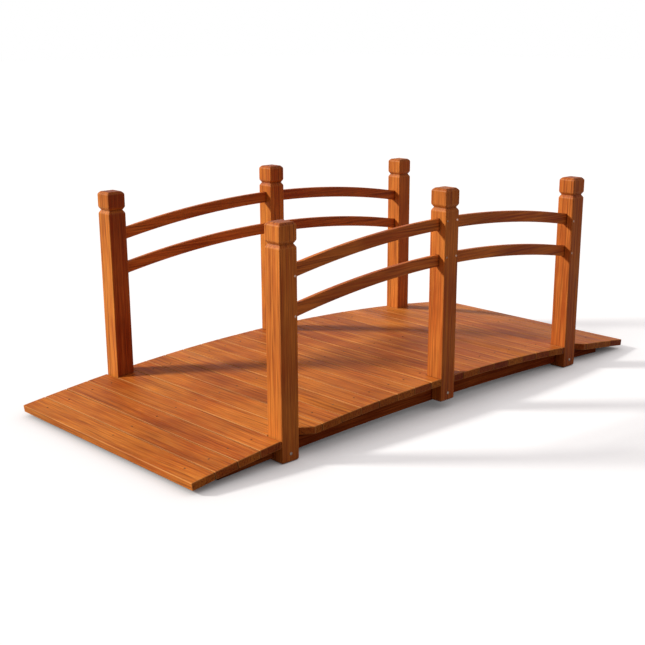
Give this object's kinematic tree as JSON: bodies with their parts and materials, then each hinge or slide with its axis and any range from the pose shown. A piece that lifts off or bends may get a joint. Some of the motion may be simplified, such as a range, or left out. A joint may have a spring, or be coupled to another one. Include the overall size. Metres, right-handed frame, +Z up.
{
  "type": "garden footbridge",
  "caption": "Low arched timber garden footbridge with crosswise deck boards, grooved square posts and curved side rails.",
  "frame": {"origin": "on the ground, under the middle of the deck", "axes": "+X along the walkway, +Y across it from the front railing to the back one, +Z up"},
  "size_m": [1.4986, 0.65, 0.521],
  "materials": {
    "deck_boards": "stained, satin",
    "beams": "stained, satin",
    "posts": "stained, satin",
    "rails": "stained, satin"
  },
  "bodies": {
    "root": {"deck_board_01": "deck_boards", "deck_board_02": "deck_boards", "deck_board_03": "deck_boards", "deck_board_04": "deck_boards", "deck_board_05": "deck_boards", "deck_board_06": "deck_boards", "deck_board_07": "deck_boards", "deck_board_08": "deck_boards", "deck_board_09": "deck_boards", "deck_board_10": "deck_boards", "deck_board_11": "deck_boards", "deck_board_12": "deck_boards", "deck_board_13": "deck_boards", "deck_board_14": "deck_boards", "deck_board_15": "deck_boards", "deck_board_16": "deck_boards", "deck_board_17": "deck_boards", "deck_board_18": "deck_boards", "deck_board_19": "deck_boards", "deck_board_20": "deck_boards", "deck_board_21": "deck_boards", "deck_board_22": "deck_boards", "deck_board_23": "deck_boards", "deck_board_24": "deck_boards", "deck_board_25": "deck_boards", "deck_board_26": "deck_boards", "front_beam": "beams", "centre_beam": "beams", "back_beam": "beams", "post_front_left": "posts", "post_front_middle": "posts", "post_front_right": "posts", "post_back_left": "posts", "post_back_middle": "posts", "post_back_right": "posts", "upper_rail_front_left": "rails", "upper_rail_front_right": "rails", "upper_rail_back_left": "rails", "upper_rail_back_right": "rails", "lower_rail_front_left": "rails", "lower_rail_front_right": "rails", "lower_rail_back_left": "rails", "lower_rail_back_right": "rails"}
  },
  "joints": []
}
